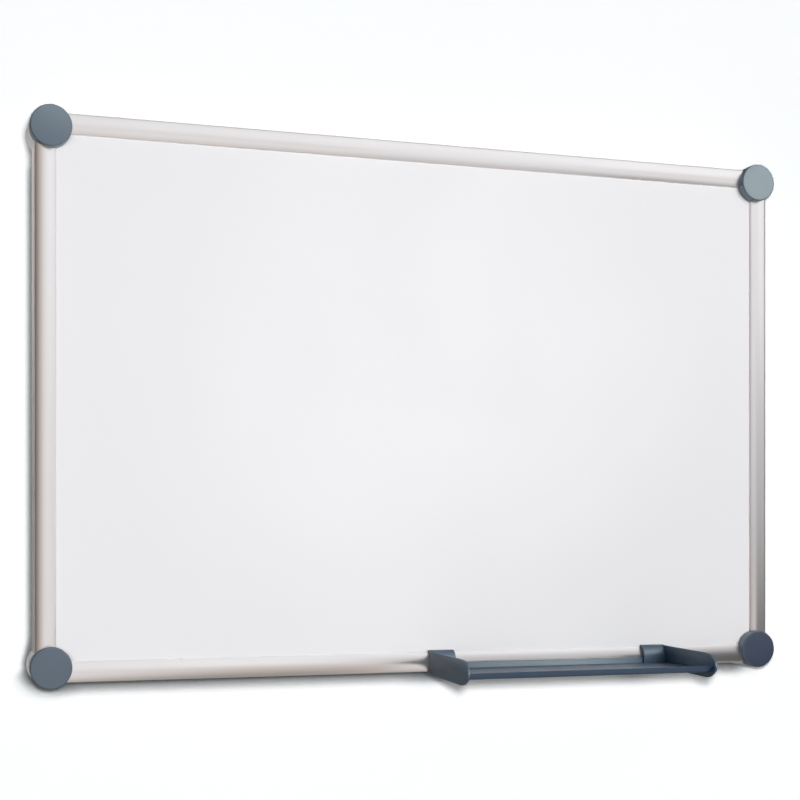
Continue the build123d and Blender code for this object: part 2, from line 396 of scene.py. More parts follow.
def railFacts():
    # The rail's section in the frame: side is outwards from the cap centres, and off is from the wall
    low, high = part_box("rail_top")
    sheetLow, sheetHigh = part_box("writing_sheet")
    centre = middleOf("corner_cap_top_right").z
    sideIn, sideOut = low.z - centre, high.z - centre
    half = (sideOut - sideIn) / 2
    radius = (half ** 2 + rail["crown"] ** 2) / (2 * rail["crown"])
    return dict(sideIn=sideIn, sideOut=sideOut, middle=(sideIn + sideOut) / 2, half=half, radius=radius,
                centreOff=-low.y - radius, backOff=-high.y, sheetOff=-sheetLow.y,
                sheetEdge=sheetHigh.z - centre, panelOff=-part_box("back_sheet")[1].y)


def arcPoints(centre, radius, start, end, steps):
    angles = [start + (end - start) * i / steps for i in range(steps + 1)]
    return [(centre[0] + radius * math.cos(a), centre[1] + radius * math.sin(a)) for a in angles]


def roundCorner(before, corner, after, radius, steps):
    # A fillet between two nearly straight stretches, as points from the first to the second
    a = Vector((before[0] - corner[0], before[1] - corner[1])).normalized()
    b = Vector((after[0] - corner[0], after[1] - corner[1])).normalized()
    angle = a.angle(b)
    reach = radius / math.tan(angle / 2)
    start, end = Vector(corner) + a * reach, Vector(corner) + b * reach
    middle = Vector(corner) + (a + b).normalized() * (radius / math.sin(angle / 2))
    first = math.atan2(start.y - middle.y, start.x - middle.x)
    last = math.atan2(end.y - middle.y, end.x - middle.x)
    turn = (last - first + math.pi) % (2 * math.pi) - math.pi
    return arcPoints(tuple(middle), radius, first, first + turn, steps)


def railProfile():
    # Points as (side, off): the lip, the crown, the shoulder, and then the back and the panel's channel
    facts = railFacts()
    sideIn, sideOut, backOff = facts["sideIn"], facts["sideOut"], facts["backOff"]
    frontOff = facts["sheetOff"] + rail["play"]
    channelBack = facts["panelOff"] - rail["play"]
    channelFloor = facts["sheetEdge"] + rail["play"]
    swing = math.asin(facts["half"] / facts["radius"])
    crown = arcPoints((facts["middle"], facts["centreOff"]), facts["radius"], math.pi / 2 + swing,
                      math.pi / 2 - swing, rail["crownSteps"])
    lip = roundCorner((sideIn, frontOff), crown[0], crown[1], rail["lipRound"], rail["lipSteps"])
    shoulder = roundCorner(crown[-2], crown[-1], (sideOut, backOff), rail["shoulderRound"],
                           rail["shoulderSteps"])
    return lip + [point for point in crown[1:-1] if lip[-1][0] < point[0] < shoulder[0][0]] + shoulder + [
        (sideOut, backOff),
        (channelFloor, backOff),
        (channelFloor, channelBack - rail["wall"]),
        (sideIn, channelBack - rail["wall"]),
        (sideIn, channelBack),
        (channelFloor, channelBack),
        (channelFloor, frontOff),
        (sideIn, frontOff),
    ]


def newShapeTree(name, entries):
    # An empty Geometry Nodes tree with its named inputs
    tree = bpy.data.node_groups.new(name, "GeometryNodeTree")
    tree.is_modifier = True
    for title, kind in {"Geometry": "NodeSocketGeometry", **entries}.items():
        tree.interface.new_socket(name=title, in_out="INPUT", socket_type=kind)
    tree.interface.new_socket(name="Geometry", in_out="OUTPUT", socket_type="NodeSocketGeometry")
    return tree, addNode(tree, "NodeGroupInput", (-900, 0)), addNode(tree, "NodeGroupOutput", (1300, 0))


def makeRailTree():
    # Sweeps a section along a straight line and turns it to its side of the board
    tree, start, end = newShapeTree("railSweep", {
        "Half Length": "NodeSocketFloat", "Distance": "NodeSocketFloat", "Turn": "NodeSocketFloat",
        "Stations": "NodeSocketInt", "Finish": "NodeSocketMaterial",
    })
    minus = addNode(tree, "ShaderNodeMath", (-700, -200), operation="MULTIPLY")
    minus.inputs[1].default_value = -1.0
    left = addNode(tree, "ShaderNodeCombineXYZ", (-500, -100))
    right = addNode(tree, "ShaderNodeCombineXYZ", (-500, -300))
    line = addNode(tree, "GeometryNodeCurvePrimitiveLine", (-300, -100))
    count = addNode(tree, "GeometryNodeResampleCurve", (-100, -100))
    section = addNode(tree, "GeometryNodeMeshToCurve", (-100, 200))
    sweep = addNode(tree, "GeometryNodeCurveToMesh", (100, 0), {"Fill Caps": True})
    place = addNode(tree, "GeometryNodeInputPosition", (100, -250))
    keep = addNode(tree, "GeometryNodeStoreNamedAttribute", (300, 0), {"Name": "railPlace"},
                   data_type="FLOAT_VECTOR", domain="POINT")
    spin = addNode(tree, "ShaderNodeCombineXYZ", (500, -200))
    turned = addNode(tree, "GeometryNodeTransform", (700, 0))
    smooth = addNode(tree, "GeometryNodeSetShadeSmooth", (900, 0))
    real = addNode(tree, "GeometryNodeRealizeInstances", (1000, 0))
    paint = addNode(tree, "GeometryNodeSetMaterial", (1100, 0))
    link(tree, start, "Half Length", minus, 0)
    link(tree, minus, 0, left, "X")
    link(tree, start, "Half Length", right, "X")
    for tip, entry in ((left, "Start"), (right, "End")):
        link(tree, start, "Distance", tip, "Z")
        link(tree, tip, "Vector", line, entry)
    link(tree, line, "Curve", count, "Curve")
    link(tree, start, "Stations", count, "Count")
    link(tree, start, "Geometry", section, "Mesh")
    link(tree, count, "Curve", sweep, "Curve")
    link(tree, section, "Curve", sweep, "Profile Curve")
    link(tree, sweep, "Mesh", keep, "Geometry")
    link(tree, place, "Position", keep, "Value")
    link(tree, start, "Turn", spin, "Y")
    link(tree, spin, "Vector", turned, "Rotation")
    link(tree, start, "Finish", paint, "Material")
    chain(tree, keep, turned, smooth, real, paint, end)
    return tree


def applyTree(holder, tree, values):
    # Runs a tree on an object and gives back the plain mesh
    modifier = holder.modifiers.new("shape", "NODES")
    modifier.node_group = tree
    for item in tree.interface.items_tree:
        if item.in_out == "INPUT" and item.name in values:
            modifier[item.identifier] = values[item.name]
    graph = bpy.context.evaluated_depsgraph_get()
    mesh = bpy.data.meshes.new_from_object(holder.evaluated_get(graph))
    holder.modifiers.remove(modifier)
    return mesh


def makeRails():
    points = railProfile()
    section = bpy.data.meshes.new("railSection")
    loop = [(i, (i + 1) % len(points)) for i in range(len(points))]
    section.from_pydata([(off, -side, 0) for side, off in points], loop, [])
    holder = newObject("railSection", section)
    tree = makeRailTree()
    middle = middleOf("corner_cap_top_right")
    halfTop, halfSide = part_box("rail_top")[1].x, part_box("rail_right")[1].z
    plan = (("rail_top", halfTop, middle.z), ("rail_right", halfSide, middle.x),
            ("rail_bottom", halfTop, middle.z), ("rail_left", halfSide, middle.x))
    for quarter, (node, halfLength, distance) in enumerate(plan):
        mesh = applyTree(holder, tree, {
            "Half Length": halfLength, "Distance": distance, "Turn": quarter * math.pi / 2,
            "Stations": rail["stations"], "Finish": finishes["rail"],
        })
        mesh.name = node + "_dressed"
        shadeSmooth(mesh, rail["smooth"])
        addPiece(node + "_dressed", mesh, "board", finishes["rail"], node)
    bpy.data.objects.remove(holder)
    print("rails made")


makeRails()


# Corner caps: a domed front, a rounded rim, a skirt cut over the rails and two posts behind the plate
cap = dict(dome=0.6 * mm, domeSteps=10, rim=1.4 * mm, rimSteps=8, band=0.5 * mm, chamfer=0.15 * mm,
           wall=1.8 * mm, plate=2.2 * mm, fit=0.3 * mm, railClear=9.2 * mm, around=240, seam=1e-4, smooth=35,
           postRadius=2.2 * mm, postLength=11 * mm, postRing=7.88 * mm, postChamfer=0.6 * mm, postAround=24)


def crownOff(side, facts):
    radius = facts["radius"] + cap["fit"]
    away = min(abs(side - facts["middle"]), radius)
    return facts["centreOff"] + math.sqrt(radius ** 2 - away ** 2)


def skirtEnd(x, z, facts, skirtOff, capRadius):
    # How near the wall the skirt reaches at a place on the cap's edge
    low, high = facts["sideIn"] - cap["fit"], facts["sideOut"] + cap["fit"]
    railStart = cap["railClear"] - capRadius
    if x < railStart and low < z < high:
        return crownOff(z, facts)
    if z < railStart and low < x < high:
        return crownOff(x, facts)
    if x <= low and z <= low:
        return facts["sheetOff"] + cap["fit"]
    return skirtOff


def capFront(radius, frontOff):
    # Points as (radius, off) from beside the middle to the end of the rounded rim
    rimStart, rimOff = radius - cap["rim"], frontOff - cap["dome"]
    domeRadius = (rimStart ** 2 + cap["dome"] ** 2) / (2 * cap["dome"])
    points = []
    for i in range(1, cap["domeSteps"] + 1):
        r = rimStart * i / cap["domeSteps"]
        points.append((r, frontOff - domeRadius + math.sqrt(domeRadius ** 2 - r ** 2)))
    for i in range(1, cap["rimSteps"] + 1):
        a = math.pi / 2 * i / cap["rimSteps"]
        points.append((rimStart + cap["rim"] * math.sin(a), rimOff - cap["rim"] * (1 - math.cos(a))))
    return points


def capAngles(radius, facts):
    # Even steps round the cap, and two close ones at each side of a rail's notch
    breaks = []
    for side in (facts["sideIn"] - cap["fit"], facts["sideOut"] + cap["fit"]):
        lean = math.asin(side / radius)
        breaks += [math.pi - lean, 1.5 * math.pi + lean]
    even = [2 * math.pi * i / cap["around"] for i in range(cap["around"])]
    return sorted(even + [b % (2 * math.pi) + s for b in breaks for s in (-cap["seam"], cap["seam"])])


def makeCapMesh():
    facts = railFacts()
    low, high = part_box("corner_cap_top_right")
    radius, frontOff, skirtOff = (high.x - low.x) / 2, -low.y, -high.y
    front = capFront(radius, frontOff)
    bandOff = front[-1][1] - cap["band"]
    inner = radius - cap["wall"]
    plateOff = frontOff - cap["dome"] - cap["plate"]
    made = bmesh.new()
    columns = []
    for a in capAngles(radius, facts):
        x, z = math.cos(a), math.sin(a)
        end = skirtEnd(radius * x, radius * z, facts, skirtOff, radius)
        profile = front + [(radius, bandOff), (radius, end + cap["chamfer"]), (radius - cap["chamfer"], end),
                           (inner, end), (inner, plateOff)]
        columns.append([made.verts.new((r * x, -off, r * z)) for r, off in profile])
    joinColumns(made, columns, made.verts.new((0, -frontOff, 0)), made.verts.new((0, -plateOff, 0)))
    for sign in (1, -1):
        addPost(made, sign * cap["postRing"], plateOff)
    return meshFrom(made, "capShape")


def addPost(made, place, plateOff):
    # A round post with a chamfered tip behind the cap's plate
    steps, radius, chamfer = cap["postAround"], cap["postRadius"], cap["postChamfer"]
    tip = plateOff - cap["postLength"]
    turns = [2 * math.pi * i / steps for i in range(steps)]
    rings = []
    for r, off in ((radius, plateOff), (radius, tip + chamfer), (radius - chamfer, tip)):
        spots = [(place + r * math.cos(a), -off, place + r * math.sin(a)) for a in turns]
        rings.append([made.verts.new(spot) for spot in spots])
    for first, second in zip(rings, rings[1:]):
        for i in range(steps):
            made.faces.new((first[i], first[(i + 1) % steps], second[(i + 1) % steps], second[i]))
    made.faces.new(rings[-1])
    made.faces.new(rings[0])


def makeCaps():
    shape = makeCapMesh()
    for name, quarter in corners.items():
        node = "corner_cap_" + name
        middle = middleOf(node)
        mesh = shape.copy()
        turn = Matrix.Rotation(quarter * math.pi / 2, 4, "Y")
        mesh.transform(Matrix.Translation((middle.x, 0, middle.z)) @ turn)
        mesh.name = "cap_" + name
        shadeSmooth(mesh, cap["smooth"])
        addPiece("cap_" + name + "_dressed", mesh, "cap_" + name, finishes["cap"], node)
    bpy.data.meshes.remove(shape)
    print("caps made")


makeCaps()


# Moulded pieces: the frame's own shape, merged and given soft edges
moulded = dict(weld=0.002 * mm, flat=0.5, sharp=30, segments=3, smooth=40, baseEdge=0.2 * mm,
               trayEdge=0.35 * mm)
trayNodes = ("tray_trough", "tray_bracket_left", "tray_bracket_right")


def mergedCopy(node):
    # The node's triangles with their doubles merged
    made = bmesh.new()
    made.from_mesh(frame["nodes"][node].data)
    bmesh.ops.remove_doubles(made, verts=made.verts, dist=moulded["weld"])
    return made


def softened(node, width):
    made = mergedCopy(node)
    bmesh.ops.dissolve_limit(made, angle_limit=math.radians(moulded["flat"]), verts=made.verts,
                             edges=made.edges, delimit={"NORMAL"})
    holder = newObject("holder", meshFrom(made, "mouldedShape"))
    bevel = holder.modifiers.new("softEdges", "BEVEL")
    bevel.width = width
    bevel.segments = moulded["segments"]
    bevel.limit_method = "ANGLE"
    bevel.angle_limit = math.radians(moulded["sharp"])
    bevel.harden_normals = False
    graph = bpy.context.evaluated_depsgraph_get()
    mesh = bpy.data.meshes.new_from_object(holder.evaluated_get(graph))
    bpy.data.objects.remove(holder)
    mesh.name = node + "_dressed"
    shadeSmooth(mesh, moulded["smooth"])
    return mesh


def makeMoulded():
    for name in corners:
        node = "corner_base_" + name
        mesh = softened(node, moulded["baseEdge"])
        addPiece(node + "_dressed", mesh, "board", finishes["base"], node)
    for node in trayNodes:
        mesh = softened(node, moulded["trayEdge"])
        addPiece(node + "_dressed", mesh, "pen_tray", finishes["tray"], node)
    print("moulded pieces made")


makeMoulded()


# Frame screws: countersunk heads with a cross recess, one instance at each place the frame has a screw
screw = dict(armReach=1.75 * mm, armHalf=0.42 * mm, recess=1.5 * mm, floorShare=0.5, pointShare=1.15,
             rise=0.12 * mm, rim=0.25 * mm, shank=1.9 * mm, tip=1.0 * mm, tipShare=0.4, around=72, seed=7,
             smooth=30)


def screwBoxes():
    # The box of each screw in the frame's node
    made = mergedCopy("frame_screws")
    left = set(made.verts)
    boxes = []
    while left:
        todo, group = [left.pop()], []
        while todo:
            vert = todo.pop()
            group.append(vert.co.copy())
            for edge in vert.link_edges:
                other = edge.other_vert(vert)
                if other in left:
                    left.remove(other)
                    todo.append(other)
        boxes.append([Vector(pick(v[i] for v in group) for i in range(3)) for pick in (min, max)])
    made.free()
    return sorted(boxes, key=lambda box: tuple(box[0]))


def crossReach(angle):
    # How far the cross recess reaches from the middle in a direction
    across, up = max(abs(math.cos(angle)), 1e-6), max(abs(math.sin(angle)), 1e-6)
    reach, half = screw["armReach"], screw["armHalf"]
    return max(min(reach / across, half / up), min(half / across, reach / up))


def makeScrewMesh(radius, length):
    corner = math.atan2(screw["armHalf"], screw["armReach"])
    turns = [2 * math.pi * i / screw["around"] for i in range(screw["around"])]
    turns += [(q * math.pi / 2 + s) % (2 * math.pi) for q in range(4) for s in (-corner, corner, math.pi / 4)]
    turns = sorted(set(round(t, 9) for t in turns))
    rise, rim, shank = screw["rise"], screw["rim"], screw["shank"]
    made = bmesh.new()
    columns = []
    for a in turns:
        reach = crossReach(a)
        profile = [(screw["floorShare"] * reach, rise - screw["recess"])]
        profile += [(r, rise * (1 - (r / radius) ** 2)) for r in (reach, (reach + radius) / 2, radius)]
        profile += [(radius, -rim), (shank, shank - rim - radius), (shank, screw["tip"] - length),
                    (screw["tipShare"] * shank, -length)]
        columns.append([made.verts.new((r * math.cos(a), y, r * math.sin(a))) for r, y in profile])
    top = made.verts.new((0, rise - screw["pointShare"] * screw["recess"], 0))
    joinColumns(made, columns, top, made.verts.new((0, -length, 0)))
    return meshFrom(made, "screwShape")


def makeScrewTree():
    # One screw at each point, each stopped at its own turn
    tree, start, end = newShapeTree("screwSet", {
        "Screw": "NodeSocketObject", "Seed": "NodeSocketInt", "Finish": "NodeSocketMaterial",
    })
    source = addNode(tree, "GeometryNodeObjectInfo", (-500, -150), {"As Instance": True})
    chance = addNode(tree, "FunctionNodeRandomValue", (-500, -400), data_type="FLOAT")
    fullTurn, turnOut = chance.inputs[3], chance.outputs[1]  # the number's Max and its Value
    fullTurn.default_value = 2 * math.pi
    spin = addNode(tree, "ShaderNodeCombineXYZ", (-250, -400))
    spread = addNode(tree, "GeometryNodeInstanceOnPoints", (0, 0))
    real = addNode(tree, "GeometryNodeRealizeInstances", (300, 0))
    paint = addNode(tree, "GeometryNodeSetMaterial", (550, 0))
    link(tree, start, "Screw", source, "Object")
    link(tree, start, "Seed", chance, "Seed")
    feed(tree, spin.inputs["Y"], turnOut)
    link(tree, start, "Geometry", spread, "Points")
    link(tree, source, "Geometry", spread, "Instance")
    link(tree, spin, "Vector", spread, "Rotation")
    link(tree, spread, "Instances", real, "Geometry")
    link(tree, start, "Finish", paint, "Material")
    chain(tree, real, paint, end)
    return tree


def makeScrews():
    boxes = screwBoxes()
    low, high = boxes[0]
    shape = newObject("screwShape", makeScrewMesh((high.x - low.x) / 2, high.y - low.y))
    points = bpy.data.meshes.new("screwPlaces")
    points.from_pydata([((a.x + b.x) / 2, b.y, (a.z + b.z) / 2) for a, b in boxes], [], [])
    holder = newObject("screwPlaces", points)
    values = {"Screw": shape, "Seed": screw["seed"], "Finish": finishes["steel"]}
    mesh = applyTree(holder, makeScrewTree(), values)
    for item in (shape, holder):
        bpy.data.objects.remove(item)
    mesh.name = "frame_screws_dressed"
    shadeSmooth(mesh, screw["smooth"])
    addPiece("frame_screws_dressed", mesh, "board", finishes["steel"], "frame_screws")
    print("screws made:", len(boxes))


makeScrews()


# Nodes that keep the frame's own shape
kept = dict(writing_sheet="enamel", panel_core="core", back_sheet="back", screw_washers="steel",
            bracket_pad_left="pad", bracket_pad_right="pad")
for node, key in kept.items():
    materials = frame["nodes"][node].data.materials
    materials.clear()
    materials.append(finishes[key])


# Stage: a white wall that is open behind the board, and a pale floor
stage = dict(wallHalf=4.0, wallTop=3.0, holeInset=0.012, rimWidth=0.0115, wallSeen=(0.925, 0.932, 0.948),
             wallGlow=(0.045, 0.055, 0.055, 1), wallBounce=0.5, washLevel=0.716, ambient=0.11,
             floorDrop=1.3, floorBack=4.0, floorFront=-8.0, floorSeen=(0.35, 0.35, 0.35, 1),
             floorGlow=(0.62, 0.62, 0.63, 1), floorBounce=0.25)

# The wall's contact shadow, painted into its colour from ambient occlusion: its reach beside, below and
# right of the board, the bands where these begin, and how far the painted shadow darkens the wall with the
# share that is hidden
shadow = dict(side=0.0138, low=0.0295, right=0.034, lowBand=(-0.285, -0.300), rightBand=(0.425, 0.445),
              topBand=(0.240, 0.265), sideShare=0.77, topShare=0.72, samples=16,
              fade=((0.0, 1.0), (0.07, 0.99), (0.11, 0.91), (0.153, 0.76), (0.2, 0.57), (0.225, 0.43),
                    (0.25, 0.30), (0.275, 0.19), (0.33, 0.14), (0.5, 0.08), (1.0, 0.05)))

# Cards that stand for the room that the metal mirrors: level is the brightness and cover the share shown,
# both by height, fadeIn and fadeOut are widths at the ends, and past its reach a card isn't mirrored
cards = dict(
    darkCard=dict(start=(0.36, -0.46), end=(0.92, -0.02), low=-1.2, high=0.4, fadeIn=0.14, fadeOut=0.0,
                  reach=0.75, tint=(1.0, 0.97, 1.0),
                  level=((-1.2, 0.10), (-0.4, 0.10), (-0.25, 0.17), (0.4, 0.20)),
                  cover=((-1.2, 1.0), (-0.32, 0.95), (-0.22, 0.76), (-0.12, 0.56), (0.02, 0.36),
                         (0.12, 0.15), (0.25, 0.0), (0.4, 0.0))),
    paleCard=dict(start=(0.02, -0.45), end=(0.45, -0.45), low=-0.36, high=0.8, fadeIn=0.10, fadeOut=0.08,
                  reach=3.0, tint=(0.985, 0.98, 1.0),
                  level=((-0.36, 0.68), (-0.2, 0.60), (-0.1, 0.74), (0.0, 0.84), (0.2, 1.0), (0.4, 1.08),
                         (0.8, 1.1)),
                  cover=((-0.36, 0.0), (-0.28, 0.0), (-0.19, 0.9), (-0.1, 1.0), (0.5, 1.0), (0.8, 0.0))),
    lowCard=dict(start=(-0.46, -0.16), end=(0.03, -0.16), low=-1.1, high=-0.26, fadeIn=0.32, fadeOut=0.03,
                 reach=1.2, tint=(1.08, 0.97, 0.91),
                 level=((-1.1, 0.25), (-0.72, 0.30), (-0.506, 0.38), (-0.386, 0.53), (-0.33, 0.66),
                        (-0.26, 0.80)),
                 cover=((-1.1, 1.0), (-0.33, 1.0), (-0.30, 0.7), (-0.26, 0.0))),
    edgeStrip=dict(start=(-0.452, -0.0015), end=(-0.4402, -0.0015), low=-0.28, high=0.28, fadeIn=0.0,
                   fadeOut=0.0, reach=0.06, tint=(1.0, 0.93, 0.88),
                   level=((-0.28, 0.10), (-0.1, 0.14), (0.0, 0.25), (0.15, 0.68), (0.28, 0.75)),
                   cover=((-0.28, 0.5), (-0.1, 0.5), (0.0, 0.4), (0.12, 0.45), (0.28, 0.75))),
)
cardFade = 0.8  # the share of a card's reach up to which it shows in full

view = dict(place=(-0.5544, -1.5046, -0.1408), pitch=90, turn=-16.24, lens=61.797, sensor=36, shiftX=0.09938,
            shiftY=0.16443, nearClip=0.01, farClip=50)

# Lamps: key and fill in front and one behind for the object, one beside the camera for the wall, and soft
# ones that the caps' or the tray's fronts mirror to the camera
lamps = dict(keyPlace=(1.1, -3.2, 0.4), keySize=1.6, keyPower=68.5, fillPlace=(-2.0, -3.0, 0.0), fillSize=2.2,
             fillPower=57.5, backPlace=(0.7, 2.8, 1.2), backSize=1.6, backPower=60,
             wallOffset=(0.05, 0.0, 0.085), wallSize=0.13, wallPower=16.0, gleamReach=1.5,
             gleamColour=(1.0, 0.90, 0.87), capGleamSize=0.9,
             capGleams=(("top_right", 4.2, (0, 0, 0)), ("top_left", 2.9, (0.14, 0.0, 0.55))),
             trayGleam=42.0, trayGleamSize=1.6, trayOffset=(0.10, 0.0, 0.60))


def addCurve(tree, source, points, place, top=3.0):
    # A value through a smooth curve of the given points
    node = addNode(tree, "ShaderNodeFloatCurve", place)
    curve = node.mapping.curves[0]
    node.mapping.clip_min_x, node.mapping.clip_max_x = points[0][0], points[-1][0]
    node.mapping.clip_min_y, node.mapping.clip_max_y = 0.0, top
    while len(curve.points) < len(points):
        curve.points.new(0.5, 0.5)
    for point, spot in zip(curve.points, points):
        point.location = spot
        point.handle_type = "AUTO_CLAMPED"
    node.mapping.update()
    feed(tree, node.inputs["Value"], source)
    return node.outputs[0]


def addRamp(tree, source, start, end, low, high, place, kind="SMOOTHSTEP"):
    inputs = {"From Min": start, "From Max": end, "To Min": low, "To Max": high}
    node = addNode(tree, "ShaderNodeMapRange", place, inputs, interpolation_type=kind)
    feed(tree, node.inputs["Value"], source)
    return node.outputs["Result"]


def addMath(tree, kind, place, *values):
    node = addNode(tree, "ShaderNodeMath", place, operation=kind)
    for entry, value in zip(node.inputs, values):
        feed(tree, entry, value)
    return node.outputs[0]


def mixShaders(tree, place, *values):
    # The share of the second shader, the first shader and the second
    node = addNode(tree, "ShaderNodeMixShader", place)
    for entry, value in zip(node.inputs, values):
        feed(tree, entry, value)
    return node.outputs[0]


def addAxes(tree, vector, place):
    # The X and Z parts of coordinates
    parts = addNode(tree, "ShaderNodeSeparateXYZ", place)
    feed(tree, parts.inputs["Vector"], vector)
    return parts.outputs["X"], parts.outputs["Z"]


def makeWallWithPaintedShadow():
    # The camera sees white with a soft contact shadow: a painted shadow, darkened into the wall's colour from
    # ambient occlusion, on top of the wash lamp's real cast shadow
    material = bpy.data.materials.new("wallPaint")
    tree = clearTree(material)
    place = addPlace(tree, "Object", (-1900, 0))
    x, z = addAxes(tree, place, (-1700, 0))
    below = addRamp(tree, z, *shadow["lowBand"], 0.0, 1.0, (-1500, 200))
    right = addRamp(tree, x, *shadow["rightBand"], 0.0, 1.0, (-1500, -100))
    above = addRamp(tree, z, *shadow["topBand"], 1.0, shadow["topShare"], (-1500, 500))
    reach = addMath(tree, "MULTIPLY_ADD", (-1200, 100), below, shadow["low"] - shadow["side"], shadow["side"])
    far = addMath(tree, "MULTIPLY", (-1200, -100), right, shadow["right"])
    near = addNode(tree, "ShaderNodeAmbientOcclusion", (-700, 100), samples=shadow["samples"])
    feed(tree, near.inputs["Distance"], addMath(tree, "MAXIMUM", (-900, 0), reach, far))
    share = addMath(tree, "MAXIMUM", (-1200, 300), below, right)
    share = addMath(tree, "MULTIPLY_ADD", (-1000, 300), share, 1.0 - shadow["sideShare"], shadow["sideShare"])
    share = addMath(tree, "MULTIPLY", (-800, 300), share, above)
    hidden = addMath(tree, "SUBTRACT", (-500, 100), 1.0, near.outputs["AO"])
    hidden = addMath(tree, "MULTIPLY", (-300, 100), hidden, share)
    # Painted shadow: this curve darkens the wall's colour where the board hides the wall
    fade = addCurve(tree, hidden, shadow["fade"], (-100, 100))

    # The wash lamp's fall-off over the wall is evened out with painted light: the wall's colour is made paler
    # where the lamp lights it less
    foot = Vector(view["place"]) + Vector(lamps["wallOffset"])
    away = addNode(tree, "ShaderNodeVectorMath", (-1500, -400), operation="SUBTRACT")
    away.inputs[1].default_value = (foot.x, 0, foot.z)
    feed(tree, away.inputs[0], place)
    squared = addNode(tree, "ShaderNodeVectorMath", (-1300, -400), operation="DOT_PRODUCT")
    for entry in (0, 1):
        link(tree, away, "Vector", squared, entry)
    even = addMath(tree, "MULTIPLY_ADD", (-1100, -400), squared.outputs["Value"], 1 / foot.y ** 2, 1.0)
    even = addMath(tree, "POWER", (-900, -400), even, -2.0)
    even = addMath(tree, "MULTIPLY_ADD", (-700, -400), even, stage["washLevel"], stage["ambient"])
    # Camera colour: the painted shadow, made paler by painted light against the lamp's fall-off
    seen = addNode(tree, "ShaderNodeVectorMath", (300, 0), operation="SCALE")
    seen.inputs[0].default_value = stage["wallSeen"]
    feed(tree, seen.inputs["Scale"], addMath(tree, "DIVIDE", (100, 0), fade, even))
    return finishStage(material, tree, seen.outputs[0], stage["wallGlow"], stage["wallBounce"],
                       "Is Shadow Ray")


def makeFloorPaint():
    material = bpy.data.materials.new("floorPaint")
    tree = clearTree(material)
    return finishStage(material, tree, stage["floorSeen"], stage["floorGlow"], stage["floorBounce"],
                       "Is Glossy Ray")


def finishStage(material, tree, seen, glow, bounce, clearRay):
    # One colour and a glow for the camera, a grey for other rays, clear from behind and to one kind of ray
    rays = addNode(tree, "ShaderNodeLightPath", (300, 400))
    tint = addTint(tree, (500, 100), (bounce, bounce, bounce, 1), seen)
    link(tree, rays, "Is Camera Ray", tint, "Factor")
    plain = addNode(tree, "ShaderNodeBsdfDiffuse", (700, 100))
    link(tree, tint, mixResult, plain, "Color")
    glowing = addNode(tree, "ShaderNodeEmission", (700, 300), {"Color": glow})
    link(tree, rays, "Is Camera Ray", glowing, "Strength")
    both = addNode(tree, "ShaderNodeAddShader", (900, 200))
    for entry, node in enumerate((plain, glowing)):
        link(tree, node, 0, both, entry)
    clear = addNode(tree, "ShaderNodeBsdfTransparent", (900, -100))
    behind = addNode(tree, "ShaderNodeNewGeometry", (900, 500))
    share = addMath(tree, "MAXIMUM", (900, 700), behind.outputs["Backfacing"], rays.outputs[clearRay])
    addOutput(tree, mixShaders(tree, (1100, 0), share, both.outputs[0], clear.outputs[0]), (1300, 0))
    return material


def addStagePiece(name, points, faces, paint):
    mesh = bpy.data.meshes.new(name)
    mesh.from_pydata(points, [], faces)
    mesh.materials.append(paint)
    piece = newObject(name, mesh)
    return piece


def makeCard(name, facts):
    # A card that only mirror reflections show, clear towards its ends and from afar
    material = bpy.data.materials.new(name + "Paint")
    tree = clearTree(material)
    x, z = addAxes(tree, addPlace(tree, "Object", (-900, 0)), (-700, 0))
    (x1, y1), (x2, y2), low, high = facts["start"], facts["end"], facts["low"], facts["high"]
    share = addCurve(tree, z, facts["cover"], (-500, -200))
    for edge, fade in ((x1, facts["fadeIn"]), (x2, -facts["fadeOut"])):
        if fade:
            ramp = addRamp(tree, x, edge, edge + fade, 0.0, 1.0, (-500, 200))
            share = addMath(tree, "MULTIPLY", (-200, 0), share, ramp)
    length = addNode(tree, "ShaderNodeLightPath", (-700, 400)).outputs["Ray Length"]
    near = addRamp(tree, length, cardFade * facts["reach"], facts["reach"], 1.0, 0.0, (-500, 400))
    share = addMath(tree, "MULTIPLY", (-50, 0), share, near)
    clear = addNode(tree, "ShaderNodeBsdfTransparent", (0, 100))
    paint = addNode(tree, "ShaderNodeEmission", (0, -100), {"Color": (*facts["tint"], 1)})
    feed(tree, paint.inputs["Strength"], addCurve(tree, z, facts["level"], (-500, -500)))
    addOutput(tree, mixShaders(tree, (200, 0), share, clear.outputs[0], paint.outputs[0]), (400, 0))
    points = [(x1, y1, low), (x2, y2, low), (x2, y2, high), (x1, y1, high)]
    card = addStagePiece(name, points, [(0, 1, 2, 3)], material)
    for kind in ("camera", "diffuse", "transmission", "shadow", "volume_scatter"):
        setattr(card, "visible_" + kind, False)


def wallCorners(halfX, low, high):
    return [(-halfX, 0, low), (halfX, 0, low), (halfX, 0, high), (-halfX, 0, high)]


def makeStage():
    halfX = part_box("rail_right")[1].x - stage["holeInset"]
    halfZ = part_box("rail_top")[1].z - stage["holeInset"]
    edgeX, edgeZ = halfX + stage["rimWidth"], halfZ + stage["rimWidth"]
    half, drop = stage["wallHalf"], -stage["floorDrop"]
    outer = wallCorners(half, drop, stage["wallTop"])
    edge = wallCorners(edgeX, -edgeZ, edgeZ)
    inner = wallCorners(halfX, -halfZ, halfZ)
    ring = [(i, (i + 1) % 4, 4 + (i + 1) % 4, 4 + i) for i in range(4)]
    paint = makeWallWithPaintedShadow()
    wall = addStagePiece("wall", outer + edge, ring, paint)
    rim = addStagePiece("wallRim", edge + inner, ring, paint)
    rim.visible_glossy = False  # the rails' backs mirror the open room, not the wall close behind them
    floor = [(x, y, drop) for x, y in ((-half, stage["floorFront"]), (half, stage["floorFront"]),
                                       (half, stage["floorBack"]), (-half, stage["floorBack"]))]
    addStagePiece("floor", floor, [(0, 1, 2, 3)], makeFloorPaint())
    for name, facts in cards.items():
        makeCard(name, facts)
    return wall, rim


wallPieces = makeStage()

